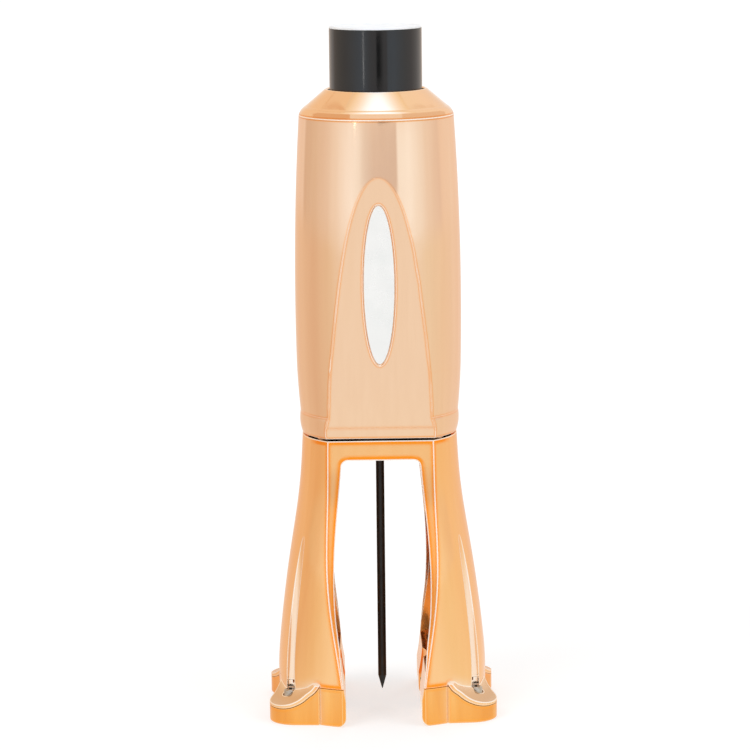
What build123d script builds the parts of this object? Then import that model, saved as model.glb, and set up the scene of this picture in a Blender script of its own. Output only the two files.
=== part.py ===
from build123d import *
import math
import os

# Gas-powered wine bottle opener, in millimetres.
# Z is up, the origin is on the needle's axis at the height of the surface under the feet,
# and the front, with the oval plate, looks along -Y. Left is -X and right is +X.

# Stack of heights along the axis
foot_height = 14.6        # foot blocks, up to the parting line under the legs
leg_length = 93.0         # legs and collar, above the parting line
seam_gap = 0.8            # dark seam between the collar and the barrel
barrel_length = 121.2     # barrel, from its lower edge to the shoulder crease
shoulder_height = 10.4    # shoulder, from the crease to the opening
can_stand = 23.2          # gas can, standing out of the opening

frame_top = foot_height + leg_length
barrel_base = frame_top + seam_gap
crease_z = barrel_base + barrel_length
rim_z = crease_z + shoulder_height
can_top = rim_z + can_stand

# Clearances and walls shared by several pieces
overrun = 5.0             # how far a cut runs past what it cuts
plated_wall = 2.2         # plated mouldings
fit = 0.15                # between fixed mouldings that nest
pin_fit = 0.05            # radial, round pins, shanks and the stem
running_gap = 0.3         # beside pieces that move

# Barrel and shoulder
base_radius = 29.6
hem_radius = 30.45
waist_radius = 30.2
flare_radius = 31.4
belly_radius = 31.7
crease_radius = 29.4
opening_radius = 18.5
hem_rise = 4.2            # heights above the barrel's lower edge
waist_rise = 8.1
slope_rise = 17.1
flare_rise = 25.6
belly_rise = 54.6
slope_bulge = 0.15        # how far the stretch above the waist swells past a straight cone
knee_radius = 26.7        # where the shoulder's rounding turns into its cone
knee_rise = 3.4           # above the crease
knee_bulge = 0.3          # how far the rounding swells past its chord
opening_round = 0.5
arch_round = 0.8          # along the edges of the flat arches
hem_draw = 0.45           # how far the arches are drawn in at the lower edge
hem_slope = 0.24          # of the drawn-in band, depth over height

# Flat arch cut into the front and the back of the barrel
facet_base_depth = 21.7
facet_top_depth = 30.75
facet_rise = 102.0
facet_rise_shares = (0.0, 0.41, 0.72, 1.0)
facet_depth_shares = (0.0, 0.54, 0.78, 1.0)

# Oval plate in its pocket on the front arch
plate_length = 60.2
plate_width = 11.2
plate_rise = 59.2         # middle of the plate above the barrel's lower edge
plate_thickness = 0.8
plate_recess = 0.8
plate_fit = 0.25
pocket_bevel = 0.5

# Legs: an outline that is lofted from the collar down to the parting line.
# Each outline has a flat front, an oblique corner face and a bowed side.
collar_flat = 20.0        # half width of the flat front face at the collar
collar_depth = 21.6       # front face, from the axis
collar_side = 29.6        # side, from the axis
collar_corner = (26.3, 13.6)
foot_depth = 36.6
foot_side = 40.0
foot_corner = (36.6, 19.6)
collar_bulge = 0.3        # how far the oblique faces swell past a flat, at the collar
foot_bulge = 1.8          # and at the feet
drop_shares = (0.0, 0.15, 0.31, 0.51, 0.71, 0.85, 1.0)
spread_shares = (0.0, 0.08, 0.25, 0.54, 0.79, 0.93, 1.0)
flat_width_shares = (1.0, 1.01, 1.03, 1.05, 0.985, 0.89, 0.79)
inset_flat_share = 0.45
inset_corner_shares = (0.83, 0.55)

# Window between the legs, front and back
collar_height = 7.5       # solid band above the window
window_half_width = 15.0
window_corner = 2.6
window_rise_shares = (0.85, 0.66, 0.5, 0.4, 0.3, 0.2, 0.1)
window_width_shares = (1.08, 1.193, 1.217, 1.183, 1.107, 1.053, 0.96)
foot_edge_radius = 3.7    # lower inside edge of each foot

# Partition in the collar that carries the needle and the barrel
partition_thickness = 2.4
partition_drop = 4.0      # its upper face below the top of the collar

# Ears at the four corners of the feet, with a screw in each
ear_radius = 10.4
ear_place = (33.1, 22.0)
ear_crease = (24.6, 33.0)
ear_flank = (38.6, 9.0)
ear_direction = (0.91, 0.415)
ear_reach = (-4.4, -3.3, -2.35, -0.9, 0.74, 4.3, 8.5)     # outwards from the screw
ear_rise = (16.6, 14.7, 13.5, 12.3, 10.7, 8.45, 7.2)      # height of the hollow top there
ear_plate = 1.1
ear_flange = 1.0
foot_screw_place = (35.5, 21.5)
head_drop = 5.4           # seat of the screw heads, below the parting line
bore_radius = 2.9
socket_radius = 4.2
socket_depth = 2.0

# Screwdriver groove up the corner of each leg
groove_radius = 2.7
groove_rise = 59.0
groove_lean = (3.6, 3.2)

# Foot blocks
block_spigot = 5.4
block_wall = 2.2
neck_radius = 17.5
block_floor = 10.0
block_round = 0.6

# Foil cutter wheels and their pins
wheel_radius = 5.5
wheel_hub_radius = 2.3
wheel_hub_height = 2.2
wheel_blade = 0.9
wheel_edge = 0.12
wheel_bevel = 1.5
wheel_place = (20.6, 6.4)
wheel_height = 6.4
wheel_slot_gap = 0.3
wheel_rim_gap = 0.6
axle_radius = 1.0
axle_fit = 0.03
axle_foot = 2.4

# Screws
foot_screw_radius = 1.25
foot_screw_length = 8.0
foot_head_radius = 2.5
foot_head_height = 2.5
frame_screw_radius = 1.4
frame_screw_length = 16.0
frame_head_radius = 2.8
frame_head_height = 2.0
frame_screw_place = (21.0, 11.0)
hub_screw_radius = 0.9
hub_head_radius = 1.7
hub_head_height = 1.2
recess_arm_share = 0.62
recess_width_share = 0.22
recess_depth_share = 0.7

# Posts in the barrel that take the frame screws
post_radius = 3.0
post_height = 30.0
post_web = 2.4

# Sleeve that guides the gas can
sleeve_wall = 1.2
sleeve_top_gap = 3.4
sleeve_flange = 2.4
sleeve_rib = 1.6
sleeve_rib_angle = 38.0

# Gas can, upside down
can_radius = 17.55
can_wall = 0.5
can_fit = 0.25
can_edge = 1.0
can_dish = 2.0
can_dish_inset = 2.2
can_neck_radius = 9.2
can_bead_radius = 10.2
can_bead_height = 2.8
can_neck_length = 3.0
can_shoulder_length = 14.0

# Needle and the hub that holds it
needle_radius = 1.6
needle_bore = 0.8
needle_point = 5.3
needle_tip_height = 6.0
needle_blunt = 0.15
needle_port = 0.4
needle_port_rise = 7.5
hub_flange_radius = 8.6
hub_flange_height = 2.0
hub_boss_radius = 4.6
hub_boss_height = 6.4
hub_spigot_radius = 4.0
hub_spigot_length = 6.1
hub_screw_spread = 6.5
seal_radius = 3.0
seal_height = 5.0
seal_step = 2.0

# Valve in the can
press_travel = 2.0
press_spare = 0.6
stem_radius = 1.6
stem_bore = 0.7
stem_bore_length = 6.0
stem_flange_radius = 2.6
stem_flange_height = 1.2
stem_spigot_radius = 1.2
stem_spigot_height = 1.6
sheet = 0.4
gasket_height = 1.2
pedestal_radius = 4.7
pedestal_height = 4.4
cup_skirt = 5.0
cup_gasket_height = 0.8
valve_wall = 0.8
valve_room = 7.8
valve_tail = 4.0
valve_tail_radius = 1.5
spring_wire = 0.25
spring_turns = 5
tube_wall = 0.6
tube_top_gap = 9.0

# Heights that follow from the stack above
window_top = frame_top - collar_height
partition_top = frame_top - partition_drop
partition_base = partition_top - partition_thickness
hub_top = partition_top + hub_flange_height + hub_boss_height
seal_base = hub_top - seal_height - stem_bore
stem_tip = seal_base + seal_step
pedestal_base = hub_top + press_travel + press_spare
gasket_base = pedestal_base + sheet
stem_flange_base = gasket_base + gasket_height
spring_base = stem_flange_base + stem_flange_height
valve_ceiling = stem_flange_base + valve_room
cup_floor = pedestal_base + pedestal_height
bead_base = cup_floor + sheet + cup_gasket_height
neck_base = bead_base + can_bead_height
shoulder_base = neck_base + can_neck_length
can_body_base = shoulder_base + can_shoulder_length
head_seat = foot_height - head_drop
socket_base = head_seat - socket_depth
sleeve_radius = can_radius + can_fit
wide = 3 * belly_radius


def mirrored(solid):
    """The solid and its mirror image across the XZ plane."""
    return solid + mirror(solid, Plane.XZ)


def four(place, build):
    """Copies of one solid, built by the given function, at the four corners of a rectangle."""
    made = []
    for sx in (-1, 1):
        for sy in (-1, 1):
            made.append(Pos(sx * place[0], sy * place[1], 0) * build())
    return Compound(children=made)


def spin(edges):
    """A solid of revolution about Z from edges drawn with X as radius and Y as height."""
    return revolve(Plane.XZ * make_face(edges), Axis.Z)


def rod(radius, low, high, place=(0, 0)):
    """A round rod along Z between two heights."""
    return Pos(place[0], place[1], low) * Cylinder(
        radius, high - low, align=(Align.CENTER, Align.CENTER, Align.MIN))


def ring(outer, inner, low, high, place=(0, 0)):
    """A round ring along Z between two heights."""
    return rod(outer, low, high, place) - rod(inner, low - overrun, high + overrun, place)


def slab(low, high):
    """A wide block between two heights, used to keep or cut a layer."""
    return Pos(0, 0, low) * Box(
        2 * wide, 2 * wide, high - low, align=(Align.CENTER, Align.CENTER, Align.MIN))


def across(edges, plane):
    """Prism through the whole object, along the normal of a plane, from edges drawn on it."""
    return extrude(plane.offset(-wide) * make_face(edges), 2 * wide)


def one(shape):
    """The largest solid of a shape."""
    return max(shape.solids(), key=lambda s: s.volume)


# Barrel

def barrel_body(inset):
    """Barrel and shoulder as a full solid, drawn in by a wall thickness."""
    top = rim_z - inset
    crease = crease_z - inset / 2
    low = barrel_base if inset == 0 else barrel_base - overrun
    start = base_radius - inset
    hem = (hem_radius - inset, barrel_base + hem_rise)
    waist = (waist_radius - inset, barrel_base + waist_rise)
    slope = ((waist_radius + flare_radius) / 2 + slope_bulge - inset, barrel_base + slope_rise)
    flare = (flare_radius - inset, barrel_base + flare_rise)
    belly = (belly_radius - inset, barrel_base + belly_rise)
    edge = (crease_radius - inset, crease)
    lip = (opening_radius, top)
    knee = (knee_radius - inset / 2, crease_z + knee_rise - inset)
    swell = ((edge[0] + knee[0]) / 2 + knee_bulge, (edge[1] + knee[1]) / 2 + knee_bulge)
    edges = [Line((0, low), (start, low))]
    if low < barrel_base:
        edges.append(Line((start, low), (start, barrel_base)))
    edges.append(ThreePointArc((start, barrel_base), hem, waist))
    edges.append(ThreePointArc(waist, slope, flare))
    edges.append(ThreePointArc(flare, belly, edge))
    edges.append(ThreePointArc(edge, swell, knee))
    edges.append(Line(knee, lip))
    edges.append(Line(lip, (0, top)))
    edges.append(Line((0, top), (0, low)))
    return spin(edges)


def facet_side(inset):
    """Everything in front of the arch face, moved in by a depth. The face bends gently in height."""
    points = []
    for rise, depth in zip(facet_rise_shares, facet_depth_shares):
        y = facet_base_depth + depth * (facet_top_depth - facet_base_depth) - inset
        points.append((-y, barrel_base + rise * facet_rise))
    low = barrel_base - overrun
    outer = -wide
    edges = [Spline(points)]
    edges.append(Line(points[-1], (outer, points[-1][1])))
    edges.append(Line((outer, points[-1][1]), (outer, low)))
    edges.append(Line((outer, low), (points[0][0], low)))
    edges.append(Line((points[0][0], low), points[0]))
    return across(edges, Plane.YZ)


def oval(grow):
    """Prism over the oval of the plate, grown by a margin on every side."""
    shape = Ellipse(plate_width / 2 + grow, plate_length / 2 + grow)
    return extrude(Plane.XZ * Pos(0, barrel_base + plate_rise) * shape, wide)


def hem_band():
    """Wedge that draws the lower edge of an arch in."""
    start = facet_base_depth - hem_draw
    rise = hem_rise
    return across([Polyline([
        (-start, barrel_base), (-start - rise * hem_slope, barrel_base + rise),
        (-wide, barrel_base + rise), (-wide, barrel_base - overrun),
        (-start, barrel_base - overrun),
    ], close=True)], Plane.YZ)


def make_housing():
    hollow = barrel_body(plated_wall) - mirrored(facet_side(plated_wall))
    shell = barrel_body(0) - mirrored(facet_side(0))
    arches = shell.faces().filter_by(GeomType.EXTRUSION)
    rising = [e for e in arches.edges() if e.bounding_box().size.Z > arch_round]
    shell = fillet(rising, arch_round) - hollow - mirrored(hem_band())
    shell -= rod(opening_radius, crease_z, rim_z + overrun)
    lip = shell.edges().filter_by(GeomType.CIRCLE).group_by(Axis.Z)[-1]
    shell = fillet(lip, opening_round)
    shell -= oval(plate_fit) & facet_side(plate_recess + plate_thickness)
    mouth = [e for e in shell.edges() if e.is_closed and e.geom_type != GeomType.CIRCLE]
    shell = chamfer(min(mouth, key=lambda e: e.center().Y), pocket_bevel)
    reach = math.hypot(*frame_screw_place)
    turn = math.degrees(math.atan2(frame_screw_place[1], frame_screw_place[0]))
    foot = partition_top + sleeve_flange
    head = barrel_base + post_height
    web = Pos(reach, 0, barrel_base + seam_gap) * Box(
        base_radius - reach, post_web, head - barrel_base - seam_gap,
        align=(Align.MIN, Align.CENTER, Align.MIN))
    web = web & rod(base_radius - plated_wall / 2, barrel_base, head)
    for sx in (-1, 1):
        for sy in (-1, 1):
            place = (sx * frame_screw_place[0], sy * frame_screw_place[1])
            heading = turn * sy if sx > 0 else 180 - turn * sy
            shell += rod(post_radius, foot, head, place) + Rot(0, 0, heading) * web
    bore = foot + frame_screw_length
    shell -= four(frame_screw_place, lambda: rod(
        frame_screw_radius + pin_fit, foot - overrun, bore))
    return one(shell)


def make_plate():
    layer = facet_side(plate_recess + plate_thickness) - facet_side(plate_recess)
    return one(oval(0) & layer)


# Legs and feet

def outline(index, inset):
    """Closed outline of both legs at one station, drawn in by a wall thickness."""
    spread = spread_shares[index]
    z = frame_top - drop_shares[index] * leg_length
    flat = collar_flat * flat_width_shares[index] - inset_flat_share * inset
    front = collar_depth + spread * (foot_depth - collar_depth) - inset
    corner_x = collar_corner[0] + spread * (foot_corner[0] - collar_corner[0])
    corner_y = collar_corner[1] + spread * (foot_corner[1] - collar_corner[1])
    corner_x -= inset_corner_shares[0] * inset
    corner_y -= inset_corner_shares[1] * inset
    side = collar_side + spread * (foot_side - collar_side) - inset
    bulge = collar_bulge + spread * (foot_bulge - collar_bulge)
    bulge_x = (flat + corner_x) / 2 + bulge
    bulge_y = (front + corner_y) / 2 + bulge
    edges = []
    for s in (-1, 1):
        edges.append(Line((s * flat, s * front), (-s * flat, s * front)))
        edges.append(ThreePointArc(
            (-s * flat, s * front), (-s * bulge_x, s * bulge_y), (-s * corner_x, s * corner_y)))
        edges.append(ThreePointArc(
            (-s * corner_x, s * corner_y), (-s * side, 0), (-s * corner_x, -s * corner_y)))
        edges.append(ThreePointArc(
            (-s * corner_x, -s * corner_y), (-s * bulge_x, -s * bulge_y),
            (-s * flat, -s * front)))
    return Pos(0, 0, z) * make_face(edges)


def leg_body(inset):
    """Both legs and the collar as one full solid."""
    return loft([outline(i, inset) for i in reversed(range(len(drop_shares)))])


def foot_body(inset, low, high):
    """Plan of the legs at the parting line, carried straight through a layer."""
    flat = outline(len(drop_shares) - 1, inset)
    return Pos(0, 0, low - foot_height) * extrude(flat, high - low)


def foot_core(inset, low, high):
    """Inside of the legs, carried straight down below the parting line."""
    return foot_body(inset, low, foot_height) + (leg_body(inset) & slab(foot_height, high))


def window(grow):
    """Opening between the legs, cut from front to back, grown by a margin."""
    half = window_half_width + grow
    top = window_top + grow
    side = []
    for rise, width in zip(window_rise_shares, window_width_shares):
        side.append((window_half_width * width + grow, window_top * rise))
    toe = (side[-1][0], foot_edge_radius)
    heel = (side[-1][0] + foot_edge_radius, 0)
    turn = foot_edge_radius * (1 - math.sqrt(0.5))
    bend = (toe[0] + turn, turn)
    cut = math.sqrt(0.5) * window_corner
    edges = []
    for s in (-1, 1):
        start = (s * half, top - window_corner)
        arc = (s * (half - window_corner + cut), top - window_corner + cut)
        edges.append(Line((0, top), (s * (half - window_corner), top)))
        edges.append(ThreePointArc((s * (half - window_corner), top), arc, start))
        points = [start] + [(s * x, z) for x, z in side]
        edges.append(Spline(points))
        edges.append(Line((s * side[-1][0], side[-1][1]), (s * toe[0], toe[1])))
        edges.append(ThreePointArc(
            (s * toe[0], toe[1]), (s * bend[0], bend[1]), (s * heel[0], heel[1])))
        edges.append(Line((s * heel[0], 0), (s * heel[0], -overrun)))
        edges.append(Line((s * heel[0], -overrun), (0, -overrun)))
    return across(edges, Plane.XZ)


def at_corners(build):
    """A shape made for the rear right corner, with its mirror images at the other three."""
    quarter = build()
    half = quarter + mirror(quarter, Plane.XZ)
    return half + mirror(half, Plane.YZ)


def lobe(grow, high):
    """Ear as a prism: a round lobe that runs out into the oblique face and the side."""
    circle = Pos(*ear_place) * Circle(ear_radius + grow)
    flank = Line(ear_crease, ear_flank)
    plan = make_hull(circle.edges() + flank.edges())
    return extrude(plan, high)


def above_ear(drop):
    """Everything over the ear's hollow top face, moved in by a depth."""
    points = [(s - drop, z - drop) for s, z in zip(ear_reach, ear_rise)]
    edges = [Spline(points)]
    edges.append(Polyline([
        points[-1], (wide, points[-1][1]), (wide, wide), (points[0][0], wide), points[0]]))
    origin = (*foot_screw_place, 0)
    turn = Plane(origin=origin, x_dir=(*ear_direction, 0), z_dir=(
        ear_direction[1], -ear_direction[0], 0))
    return across(edges, turn)


def groove(grow):
    """Screwdriver groove, a leaning round channel up the corner of a leg."""
    start = Vector(*foot_screw_place, foot_height)
    end = start + Vector(-groove_lean[0], -groove_lean[1], groove_rise)
    lean = end - start
    way = Plane(origin=start, z_dir=lean)
    return way * Cylinder(
        groove_radius + grow, lean.length, align=(Align.CENTER, Align.CENTER, Align.MIN))


def ear(skin):
    """Ear of the leg: a hollow plate, the leg's wall carried down onto it, and a screw socket."""
    high = foot_height + ear_flange
    block = lobe(0, high) & above_ear(ear_plate)
    socket = rod(socket_radius, socket_base, high, foot_screw_place)
    return (block + socket - above_ear(0)) + (block & skin)


def screw_way():
    """Groove, counterbore and shank hole of one foot screw, as one cut."""
    cut = groove(0) + rod(bore_radius, head_seat, foot_height, foot_screw_place)
    return cut + rod(
        foot_screw_radius + pin_fit, socket_base - overrun, head_seat + overrun,
        foot_screw_place)


def make_leg_frame():
    guards = at_corners(lambda: groove(plated_wall))
    core = leg_body(plated_wall)
    below = (core & slab(-overrun, partition_base)) - guards
    above = core & slab(partition_top, frame_top + overrun)
    body = leg_body(0) - below - above
    skin = foot_body(0, 0, foot_height)
    skin -= foot_body(plated_wall, -overrun, foot_height + overrun)
    body += at_corners(lambda: ear(skin))
    body -= at_corners(screw_way)
    body -= window(0)
    body -= rod(hub_spigot_radius + fit, partition_base - overrun, partition_top + overrun)
    for s in (-1, 1):
        body -= rod(
            hub_screw_radius + pin_fit, partition_base - overrun, partition_top + overrun,
            (s * hub_screw_spread, 0))
    body -= four(frame_screw_place, lambda: rod(
        frame_screw_radius + pin_fit, partition_base - overrun, partition_top + overrun))
    return one(body)


def make_foot(side):
    """Foot block with its spigot, wheel slots, pin holes and screw holes."""
    top = foot_height - fit
    spigot_top = foot_height + block_spigot
    nest = plated_wall + fit
    block = foot_body(0, 0, top) + at_corners(lambda: lobe(0, top))
    block = fillet(block.edges().group_by(Axis.Z)[0], block_round)
    block += foot_core(nest, top - fit, spigot_top)
    block -= at_corners(lambda: lobe(fit, spigot_top + overrun) & above_ear(ear_plate + fit))
    block -= at_corners(lambda: rod(
        socket_radius + fit, socket_base - fit, spigot_top + overrun, foot_screw_place))
    hollow = foot_core(nest + block_wall, block_floor, spigot_top + overrun)
    hollow -= rod(neck_radius + block_wall, 0, spigot_top + 2 * overrun)
    hollow -= window(block_wall)
    hollow -= at_corners(lambda: rod(
        socket_radius + fit + block_wall, 0, spigot_top + 2 * overrun, foot_screw_place))
    block -= hollow
    block -= at_corners(lambda: groove(plated_wall + fit))
    block -= window(0)
    block -= rod(neck_radius, -overrun, spigot_top + overrun)
    block -= at_corners(lambda: rod(
        foot_screw_radius + pin_fit, head_seat - foot_screw_length, socket_base,
        foot_screw_place))
    tall = wheel_hub_height / 2 + wheel_slot_gap
    block -= four(wheel_place, lambda: rod(
        wheel_radius + wheel_rim_gap, wheel_height - tall, wheel_height + tall))
    block -= four(wheel_place, lambda: rod(
        axle_radius + axle_fit, axle_foot, block_floor + overrun))
    half = Box(wide, 2 * wide, wide, align=(Align.MIN, Align.CENTER, Align.CENTER))
    if side < 0:
        half = mirror(half, Plane.YZ)
    return one(block & half)


# Screws, pins and wheels

def cross_screw(shank, length, head, height):
    """Screw along Z with its head seat at height zero, head up, and a cross recess."""
    body = rod(shank, -length + shank, 0) + rod(head, 0, height)
    body += spin([
        Line((0, -length), (shank, -length + shank)),
        Line((shank, -length + shank), (0, -length + shank)),
        Line((0, -length + shank), (0, -length)),
    ])
    rim = body.edges().filter_by(GeomType.CIRCLE).group_by(Axis.Z)[-1]
    body = fillet(rim, height / 3)
    arm = 2 * head * recess_arm_share
    width = 2 * head * recess_width_share
    deep = height * recess_depth_share
    bar = Pos(0, 0, height - deep) * Box(
        arm, width, height, align=(Align.CENTER, Align.CENTER, Align.MIN))
    return body - bar - Rot(0, 0, 90) * bar


def make_foot_screws():
    screw = cross_screw(
        foot_screw_radius, foot_screw_length - pin_fit, foot_head_radius, foot_head_height)
    return four(foot_screw_place, lambda: Pos(0, 0, head_seat) * screw)


def make_frame_screws():
    length = partition_thickness + sleeve_flange + frame_screw_length - fit
    screw = cross_screw(frame_screw_radius, length, frame_head_radius, frame_head_height)
    return four(frame_screw_place, lambda: Pos(0, 0, partition_base) * Rot(180, 0, 0) * screw)


def make_hub_screws():
    length = hub_flange_height + partition_thickness
    screw = cross_screw(hub_screw_radius, length, hub_head_radius, hub_head_height)
    seat = partition_top + hub_flange_height
    return Compound(children=[
        Pos(s * hub_screw_spread, 0, seat) * screw for s in (-1, 1)])


def make_axles():
    return four(wheel_place, lambda: rod(axle_radius, axle_foot, block_floor))


def make_wheel(sx, sy):
    """Cutter wheel: a thin disc with a bevelled edge and a thicker hub."""
    bore = axle_radius + pin_fit
    hub = wheel_hub_height / 2
    blade = wheel_blade / 2
    edge = wheel_edge / 2
    shoulder = wheel_radius - wheel_bevel
    points = [(bore, -hub), (wheel_hub_radius, -hub), (wheel_hub_radius, -blade)]
    points += [(shoulder, -blade), (wheel_radius, -edge), (wheel_radius, edge)]
    points += [(shoulder, blade), (wheel_hub_radius, blade), (wheel_hub_radius, hub), (bore, hub)]
    disc = spin([Polyline(points, close=True)])
    return Pos(sx * wheel_place[0], sy * wheel_place[1], wheel_height) * disc


# Needle, hub and sleeve

def make_needle():
    tip = needle_tip_height
    top = partition_top
    neck = tip + needle_point
    body = spin([Polyline([
        (0, tip), (needle_blunt, tip), (needle_radius, neck), (needle_radius, top), (0, top),
    ], close=True)])
    body -= rod(needle_bore, neck, top + overrun)
    port = Pos(0, 0, tip + needle_port_rise) * Rot(-90, 0, 0) * Cylinder(
        needle_port, 2 * needle_radius, align=(Align.CENTER, Align.CENTER, Align.MIN))
    return body - port


def make_needle_hub():
    flange_top = partition_top + hub_flange_height
    base = partition_top - hub_spigot_length
    hub = rod(hub_flange_radius, partition_top, flange_top)
    hub += rod(hub_boss_radius, partition_top, hub_top)
    hub += rod(hub_spigot_radius, base, partition_top)
    hub -= rod(needle_radius + pin_fit, base - overrun, partition_top)
    hub -= rod(needle_bore, base, hub_top + overrun)
    hub -= rod(seal_radius + pin_fit, seal_base, hub_top + overrun)
    for s in (-1, 1):
        hub -= rod(
            hub_screw_radius + pin_fit, partition_top - overrun, flange_top + overrun,
            (s * hub_screw_spread, 0))
    return hub


def make_stem_seal():
    top = seal_base + seal_height
    bush = ring(seal_radius, needle_bore, seal_base, top)
    return bush - rod(stem_radius + pin_fit, stem_tip, top + overrun)


def make_sleeve():
    """Tube that guides the can, on a flange over the partition, with ribs to the barrel."""
    top = rim_z - sleeve_top_gap
    tube = sleeve_radius + sleeve_wall
    room = barrel_body(plated_wall + running_gap) - mirrored(
        facet_side(plated_wall + running_gap))
    rib_base = barrel_base + post_height
    rib = Pos(0, 0, rib_base) * Box(
        2 * belly_radius, sleeve_rib, crease_z - rib_base,
        align=(Align.CENTER, Align.CENTER, Align.MIN))
    ribs = Rot(0, 0, sleeve_rib_angle) * rib + Rot(0, 0, -sleeve_rib_angle) * rib
    flange = leg_body(plated_wall + fit) & slab(partition_top, partition_top + sleeve_flange)
    body = rod(tube, partition_top, top) + flange + (ribs & room)
    body -= rod(sleeve_radius, partition_top - overrun, top + overrun)
    body -= four(frame_screw_place, lambda: rod(
        frame_screw_radius + pin_fit, partition_top - overrun,
        partition_top + sleeve_flange + overrun))
    return one(body)


# Gas can and its valve

def can_body(inset):
    """Can, upside down, as a full solid drawn in by the sheet's thickness."""
    neck = can_neck_radius - inset
    side = can_radius - inset
    top = can_top - inset
    low = bead_base if inset == 0 else bead_base - overrun
    edge = max(can_edge - inset, can_wall)
    round_off = edge * (1 - math.sqrt(0.5))
    dish = (side - can_dish_inset, top - can_edge / 2)
    edges = [
        Line((0, low), (neck, low)),
        Line((neck, low), (neck, shoulder_base)),
        TangentArc((side, can_body_base), (neck, shoulder_base), tangent=(0, -1)),
        Line((side, can_body_base), (side, top - edge)),
        ThreePointArc(
            (side, top - edge), (side - round_off, top - round_off), (side - edge, top)),
        Line((side - edge, top), dish),
        TangentArc((0, top - can_dish), dish, tangent=(1, 0)),
        Line((0, top - can_dish), (0, low)),
    ]
    return spin(edges)


def make_gas_can():
    bead = rod(can_bead_radius, bead_base, neck_base)
    bead = fillet(bead.edges().filter_by(GeomType.CIRCLE), can_bead_height / 4)
    return one(can_body(0) + bead - can_body(can_wall))


def make_valve_cup():
    """Mounting cup: pedestal, floor and a skirt crimped over the can's bead."""
    skirt_in = can_bead_radius + pin_fit
    skirt_out = skirt_in + sheet
    crimp = cup_floor + cup_skirt
    hole = stem_radius + 2 * pin_fit
    points = [
        (hole, pedestal_base), (pedestal_radius, pedestal_base), (pedestal_radius, cup_floor),
        (skirt_out, cup_floor), (skirt_out, crimp), (can_neck_radius + sheet, crimp),
        (can_neck_radius + sheet, crimp - sheet), (skirt_in, crimp - sheet),
        (skirt_in, cup_floor + sheet), (pedestal_radius - sheet, cup_floor + sheet),
        (pedestal_radius - sheet, pedestal_base + sheet), (hole, pedestal_base + sheet),
    ]
    return spin([Polyline(points, close=True)])


def make_cup_gasket():
    low = cup_floor + sheet
    return ring(can_bead_radius - pin_fit, can_neck_radius - can_wall, low, low + cup_gasket_height)


def make_stem_gasket():
    outer = pedestal_radius - sheet - pin_fit
    return ring(outer, stem_radius + pin_fit, gasket_base, gasket_base + gasket_height)


def make_valve_body():
    outer = pedestal_radius - sheet - pin_fit
    roof = valve_ceiling + valve_wall
    body = rod(outer, stem_flange_base, roof) + rod(valve_tail_radius, roof, roof + valve_tail)
    body -= rod(outer - valve_wall, stem_flange_base - overrun, valve_ceiling)
    return body - rod(stem_bore, valve_ceiling - overrun, roof + valve_tail + overrun)


def make_valve_stem():
    body = rod(stem_radius, stem_tip, stem_flange_base)
    body += rod(stem_flange_radius, stem_flange_base, spring_base)
    body += rod(stem_spigot_radius, spring_base, spring_base + stem_spigot_height)
    return body - rod(stem_bore, stem_tip - overrun, stem_tip + stem_bore_length)


def make_valve_spring():
    """Helical spring from the stem's flange to the valve's ceiling."""
    low = spring_base + spring_wire + pin_fit
    high = valve_ceiling - spring_wire - pin_fit
    coil = stem_spigot_radius + 2 * spring_wire
    path = Pos(0, 0, low) * Helix((high - low) / spring_turns, high - low, coil)
    start = Plane(origin=path @ 0, z_dir=path % 0)
    return sweep(start * Circle(spring_wire), path=path, is_frenet=True)


def make_dip_tube():
    low = valve_ceiling + valve_wall + pin_fit
    bore = valve_tail_radius + pin_fit
    return ring(bore + tube_wall, bore, low, can_top - tube_top_gap)


parts = {
    "housing": make_housing(),
    "badge_plate": make_plate(),
    "leg_frame": make_leg_frame(),
    "foot_left": make_foot(-1),
    "foot_right": make_foot(1),
    "foot_screws": make_foot_screws(),
    "frame_screws": make_frame_screws(),
    "axle_pins": make_axles(),
    "cutter_wheel_front_left": make_wheel(-1, -1),
    "cutter_wheel_front_right": make_wheel(1, -1),
    "cutter_wheel_rear_left": make_wheel(-1, 1),
    "cutter_wheel_rear_right": make_wheel(1, 1),
    "cartridge_sleeve": make_sleeve(),
    "needle": make_needle(),
    "needle_hub": make_needle_hub(),
    "hub_screws": make_hub_screws(),
    "stem_seal": make_stem_seal(),
    "gas_can": make_gas_can(),
    "valve_cup": make_valve_cup(),
    "cup_gasket": make_cup_gasket(),
    "stem_gasket": make_stem_gasket(),
    "valve_body": make_valve_body(),
    "valve_stem": make_valve_stem(),
    "valve_spring": make_valve_spring(),
    "dip_tube": make_dip_tube(),
}

os.makedirs("parts", exist_ok=True)
for name, shape in parts.items():
    export_step(shape, f"parts/{name}.step")
print(len(parts), "parts, height", round(can_top, 2))
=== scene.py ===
# %% [markdown]
# # A gas-powered bottle opener in rose gold plating
#
# The opener stands on two wide legs. A barrel holds a small gas can upside down, and a black
# needle hangs between the legs. Nearly all of it is bright plated plastic, which has no look of
# its own: it shows its surroundings. So this lesson spends as much care on what stands round
# the opener as on its materials.
#
# The pieces come packed in one frame, in metres, with +Z up and the front towards -Y. They are
# never moved here. This script adds finishes, a camera, a floor and light.

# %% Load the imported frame
import math

import bpy
from mathutils import Euler, Matrix, Vector


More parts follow.
